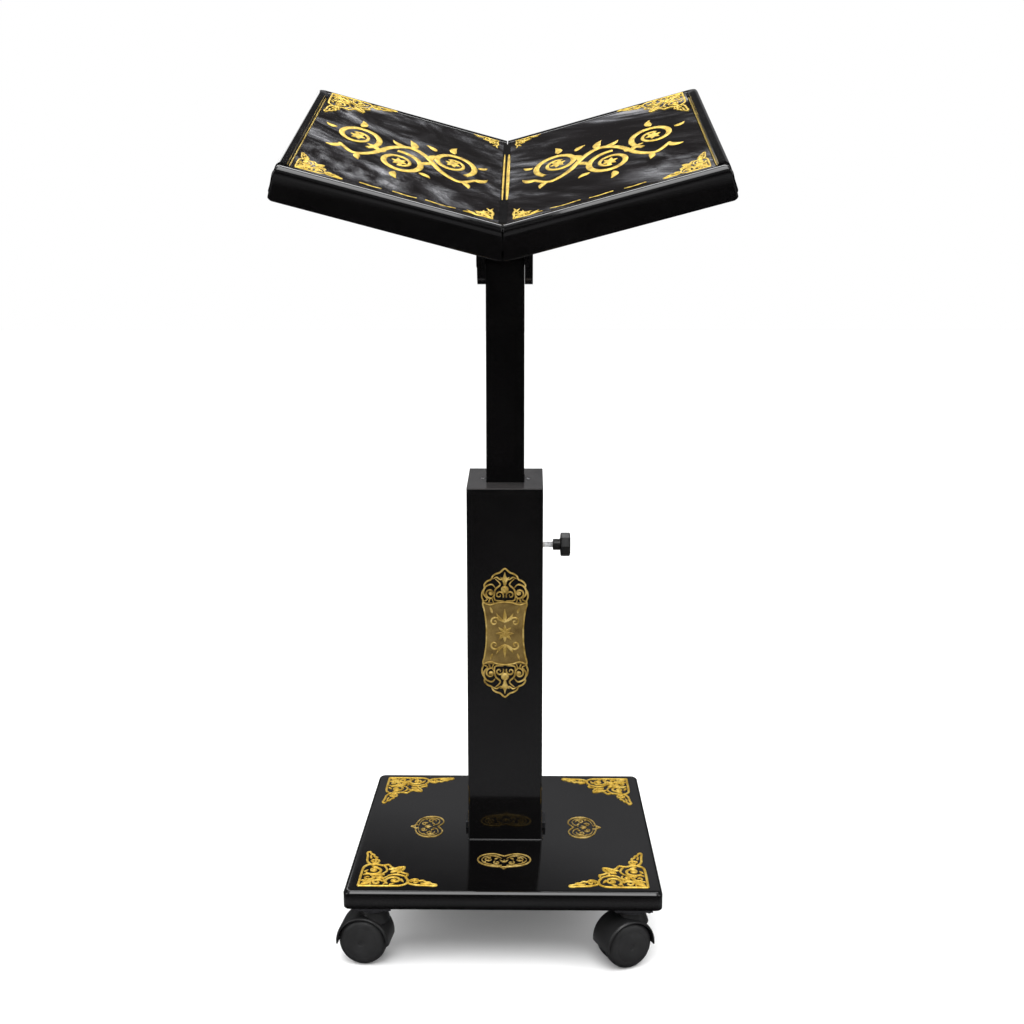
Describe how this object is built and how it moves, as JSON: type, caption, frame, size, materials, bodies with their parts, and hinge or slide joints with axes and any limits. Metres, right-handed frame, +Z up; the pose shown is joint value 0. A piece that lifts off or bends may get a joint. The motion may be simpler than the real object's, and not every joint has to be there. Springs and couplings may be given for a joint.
{
  "type": "quran stand",
  "caption": "Height-adjustable rolling book stand: tilting V-shaped rest of two moulded leaves on a sliding post, hollow column and square base with casters.",
  "frame": {"origin": "on the floor, midway between the outermost caster surfaces, under the centre of the base plate", "axes": "+Z up, -Y towards the reader, +X to the reader's right"},
  "size_m": [0.4152, 0.3182, 0.8482],
  "materials": {
    "black_lacquer": "high-gloss black lacquer over MDF and hardwood",
    "bare_wood": "unfinished wood and MDF blocks",
    "gilt": "thin gilt relief with dark ground in the piercings",
    "plaque_gilt": "gilt relief plaque with a bronze field",
    "dark_steel": "blackened steel",
    "brass": "satin brass",
    "nylon": "nylon",
    "knob_plastic": "moulded black plastic",
    "chrome": "bright plated thread",
    "caster_steel": "black powder coat",
    "caster_nylon": "moulded black nylon",
    "axle_steel": "plain steel",
    "wheel_nylon": "moulded black nylon"
  },
  "bodies": {
    "frame": {"base_plate": "black_lacquer", "corner_ornament_front_left": "gilt", "corner_ornament_front_right": "gilt", "corner_ornament_rear_right": "gilt", "corner_ornament_rear_left": "gilt", "base_medallion_front": "gilt", "base_medallion_right": "gilt", "base_medallion_rear": "gilt", "base_medallion_left": "gilt", "column_front_panel": "black_lacquer", "column_back_panel": "black_lacquer", "column_left_panel": "black_lacquer", "column_right_panel": "black_lacquer", "column_cap": "black_lacquer", "post_guide": "bare_wood", "cap_screw_left": "dark_steel", "cap_screw_right": "dark_steel", "foot_cleat_left": "dark_steel", "foot_cleat_right": "dark_steel", "front_plaque": "plaque_gilt", "threaded_insert": "brass", "caster_plate_front_left": "caster_steel", "caster_plate_front_right": "caster_steel", "caster_plate_rear_right": "caster_steel", "caster_plate_rear_left": "caster_steel"},
    "slider": {"post": "black_lacquer", "post_shoe": "nylon"},
    "clamp_shoe": {"clamp_pad": "nylon"},
    "clamp_handle": {"clamp_screw": "chrome", "clamp_knob": "knob_plastic"},
    "book_rest": {"left_cheek": "black_lacquer", "right_cheek": "black_lacquer", "cross_block": "black_lacquer", "pivot_bolt": "dark_steel", "pivot_nut": "dark_steel", "left_leaf_panel": "black_lacquer", "left_front_rail": "black_lacquer", "left_edge_moulding": "black_lacquer", "left_wing": "bare_wood", "right_leaf_panel": "black_lacquer", "right_front_rail": "black_lacquer", "right_edge_moulding": "black_lacquer", "right_wing": "bare_wood", "valley_strip": "black_lacquer"},
    "caster_front_left": {"caster_hood_front_left": "caster_nylon", "caster_axle_front_left": "axle_steel"},
    "wheel_front_left_a": {"caster_wheel_front_left_a": "wheel_nylon"},
    "wheel_front_left_b": {"caster_wheel_front_left_b": "wheel_nylon"},
    "caster_front_right": {"caster_hood_front_right": "caster_nylon", "caster_axle_front_right": "axle_steel"},
    "wheel_front_right_a": {"caster_wheel_front_right_a": "wheel_nylon"},
    "wheel_front_right_b": {"caster_wheel_front_right_b": "wheel_nylon"},
    "caster_rear_right": {"caster_hood_rear_right": "caster_nylon", "caster_axle_rear_right": "axle_steel"},
    "wheel_rear_right_a": {"caster_wheel_rear_right_a": "wheel_nylon"},
    "wheel_rear_right_b": {"caster_wheel_rear_right_b": "wheel_nylon"},
    "caster_rear_left": {"caster_hood_rear_left": "caster_nylon", "caster_axle_rear_left": "axle_steel"},
    "wheel_rear_left_a": {"caster_wheel_rear_left_a": "wheel_nylon"},
    "wheel_rear_left_b": {"caster_wheel_rear_left_b": "wheel_nylon"}
  },
  "joints": [
    {"name": "post_slide", "type": "slide", "parent": "frame", "child": "slider", "axis": [0, 0, 1], "range_m": [-0.15, 0.1]},
    {"name": "rest_tilt", "type": "hinge", "parent": "slider", "child": "book_rest", "pos_m": [0, 0.006, 0.667], "axis": [1, 0, 0], "range_deg": [-22, 23]},
    {"name": "pad_travel", "type": "slide", "parent": "frame", "child": "clamp_shoe", "axis": [1, 0, 0], "range_m": [0, 0.002]},
    {"name": "knob_turn", "type": "hinge", "parent": "clamp_shoe", "child": "clamp_handle", "pos_m": [0.05, 0.006, 0.382], "axis": [1, 0, 0], "range_deg": [0, 720]},
    {"name": "swivel_front_left", "type": "hinge", "parent": "frame", "child": "caster_front_left", "pos_m": [-0.124, -0.1305, 0.05], "axis": [0, 0, 1], "continuous": true},
    {"name": "spin_front_left_a", "type": "hinge", "parent": "caster_front_left", "child": "wheel_front_left_a", "pos_m": [-0.13295, -0.12956, 0.023], "axis": [0.1045, 0.9945, 0], "continuous": true},
    {"name": "spin_front_left_b", "type": "hinge", "parent": "caster_front_left", "child": "wheel_front_left_b", "pos_m": [-0.13295, -0.12956, 0.023], "axis": [0.1045, 0.9945, 0], "continuous": true},
    {"name": "swivel_front_right", "type": "hinge", "parent": "frame", "child": "caster_front_right", "pos_m": [0.124, -0.1305, 0.05], "axis": [0, 0, 1], "continuous": true},
    {"name": "spin_front_right_a", "type": "hinge", "parent": "caster_front_right", "child": "wheel_front_right_a", "pos_m": [0.11578, -0.13416, 0.023], "axis": [-0.4067, 0.9135, 0], "continuous": true},
    {"name": "spin_front_right_b", "type": "hinge", "parent": "caster_front_right", "child": "wheel_front_right_b", "pos_m": [0.11578, -0.13416, 0.023], "axis": [-0.4067, 0.9135, 0], "continuous": true},
    {"name": "swivel_rear_right", "type": "hinge", "parent": "frame", "child": "caster_rear_right", "pos_m": [0.124, 0.1305, 0.05], "axis": [0, 0, 1], "continuous": true},
    {"name": "spin_rear_right_a", "type": "hinge", "parent": "caster_rear_right", "child": "wheel_rear_right_a", "pos_m": [0.13295, 0.12956, 0.023], "axis": [-0.1045, -0.9945, 0], "continuous": true},
    {"name": "spin_rear_right_b", "type": "hinge", "parent": "caster_rear_right", "child": "wheel_rear_right_b", "pos_m": [0.13295, 0.12956, 0.023], "axis": [-0.1045, -0.9945, 0], "continuous": true},
    {"name": "swivel_rear_left", "type": "hinge", "parent": "frame", "child": "caster_rear_left", "pos_m": [-0.124, 0.1305, 0.05], "axis": [0, 0, 1], "continuous": true},
    {"name": "spin_rear_left_a", "type": "hinge", "parent": "caster_rear_left", "child": "wheel_rear_left_a", "pos_m": [-0.11578, 0.13416, 0.023], "axis": [0.4067, -0.9135, 0], "continuous": true},
    {"name": "spin_rear_left_b", "type": "hinge", "parent": "caster_rear_left", "child": "wheel_rear_left_b", "pos_m": [-0.11578, 0.13416, 0.023], "axis": [0.4067, -0.9135, 0], "continuous": true}
  ],
  "couplings": [
    {"joint": "knob_turn", "follows": "pad_travel", "rad_per_m": 6283.2}
  ]
}
